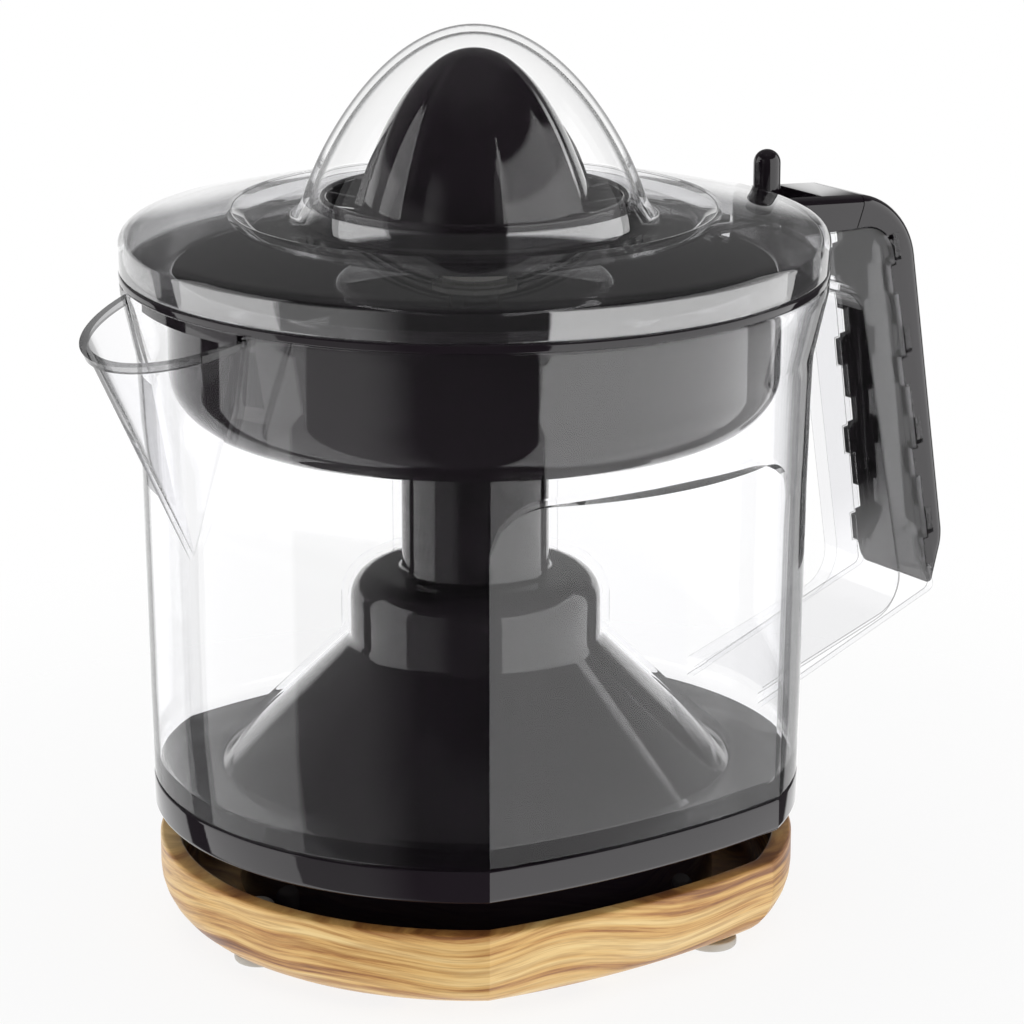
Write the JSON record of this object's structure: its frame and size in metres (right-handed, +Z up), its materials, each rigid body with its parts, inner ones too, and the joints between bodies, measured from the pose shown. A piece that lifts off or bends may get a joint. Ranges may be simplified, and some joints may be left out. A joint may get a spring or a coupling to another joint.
{
  "type": "electric citrus press",
  "caption": "Electric citrus press: motor base on a wooden foot ring, clear jug with spout and handle, juice bowl with a pulp selector lever, pressed-to-start reamer and clear lid.",
  "frame": {"origin": "middle of the footprint's bounding box, on the surface it stands on", "axes": "+Z up, +X towards the handle, -X towards the spout, -Y the side panel seen in the picture"},
  "size_m": [0.2372, 0.166, 0.216],
  "materials": {
    "wood": "oiled, with dark streaks",
    "rubber": "matt, beige",
    "black": "polished black",
    "clear": "clear, polished",
    "nylon": "natural",
    "steel": "plain",
    "brass": "machined",
    "copper": "laminated iron with copper windings"
  },
  "bodies": {
    "base": {"wood_base": "wood", "foot_1": "rubber", "foot_2": "rubber", "foot_3": "rubber", "base_screw_1": "steel", "base_screw_2": "steel", "base_screw_3": "steel", "base_pan": "black", "cord_gland": "rubber", "motor_housing": "black", "housing_screw_1": "steel", "housing_screw_2": "steel", "housing_screw_3": "steel", "housing_screw_4": "steel", "motor_case": "steel", "gear_plate": "steel", "idler_pin": "steel", "bearing_bridge": "nylon", "return_spring": "steel", "start_switch": "black", "neck_bush": "nylon"},
    "rotor": {"motor_rotor": "copper", "motor_pinion": "brass"},
    "idler": {"idler_gear": "nylon"},
    "press": {"spring_cup": "nylon"},
    "drive": {"output_gear": "nylon", "drive_shaft": "steel"},
    "plunger": {"switch_plunger": "nylon"},
    "jug": {"jug": "clear", "handle_cap": "black", "handle_grip": "black"},
    "bowl": {"juice_bowl": "black"},
    "selector": {"pulp_ring": "black", "pulp_lever": "black"},
    "bush": {"spindle_bush": "nylon"},
    "spindle": {"drive_spindle": "steel"},
    "reamer": {"reamer": "black"},
    "lid": {"lid": "clear"}
  },
  "joints": [
    {"name": "press_down", "type": "slide", "parent": "base", "child": "press", "axis": [0, 0, 1], "range_m": [-0.002, 0], "stiffness_N_per_m": 2500, "springref_m": 0.004, "deforming": ["return_spring"]},
    {"name": "drive_spin", "type": "hinge", "parent": "press", "child": "drive", "pos_m": [-0.01699, 0, 0.05], "axis": [0, 0, 1], "continuous": true},
    {"name": "rotor_spin", "type": "hinge", "parent": "base", "child": "rotor", "pos_m": [-0.01699, 0, 0.0258], "axis": [0, 0, 1], "continuous": true},
    {"name": "idler_spin", "type": "hinge", "parent": "base", "child": "idler", "pos_m": [0.00701, 0, 0.045], "axis": [0, 0, 1], "continuous": true},
    {"name": "switch_press", "type": "slide", "parent": "base", "child": "plunger", "axis": [0, 0, 1], "range_m": [-0.002, 0]},
    {"name": "jug_lift", "type": "slide", "parent": "base", "child": "jug", "axis": [0, 0, 1], "range_m": [0, 0.11]},
    {"name": "bowl_lift", "type": "slide", "parent": "jug", "child": "bowl", "axis": [0, 0, 1], "range_m": [0, 0.08]},
    {"name": "selector_turn", "type": "hinge", "parent": "bowl", "child": "selector", "pos_m": [-0.01699, 0, 0.127], "axis": [0, 0, 1], "range_deg": [-3.5, 3.5]},
    {"name": "bush_press", "type": "slide", "parent": "bowl", "child": "bush", "axis": [0, 0, 1], "range_m": [-0.002, 0]},
    {"name": "spindle_spin", "type": "hinge", "parent": "bush", "child": "spindle", "pos_m": [-0.01699, 0, 0.15], "axis": [0, 0, 1], "continuous": true},
    {"name": "lid_lift", "type": "slide", "parent": "bowl", "child": "lid", "axis": [0, 0, 1], "range_m": [0, 0.08]},
    {"name": "reamer_lift", "type": "slide", "parent": "spindle", "child": "reamer", "axis": [0, 0, 1], "range_m": [0, 0.036]}
  ],
  "couplings": [
    {"joint": "drive_spin", "follows": "rotor_spin", "ratio": 0.14286},
    {"joint": "idler_spin", "follows": "rotor_spin", "ratio": -0.33333},
    {"joint": "spindle_spin", "follows": "rotor_spin", "ratio": 0.14286},
    {"joint": "switch_press", "follows": "press_down", "ratio": 1},
    {"joint": "bush_press", "follows": "press_down", "ratio": 1},
    {"joint": "reamer_lift", "follows": "lid_lift", "ratio": 0.45}
  ]
}
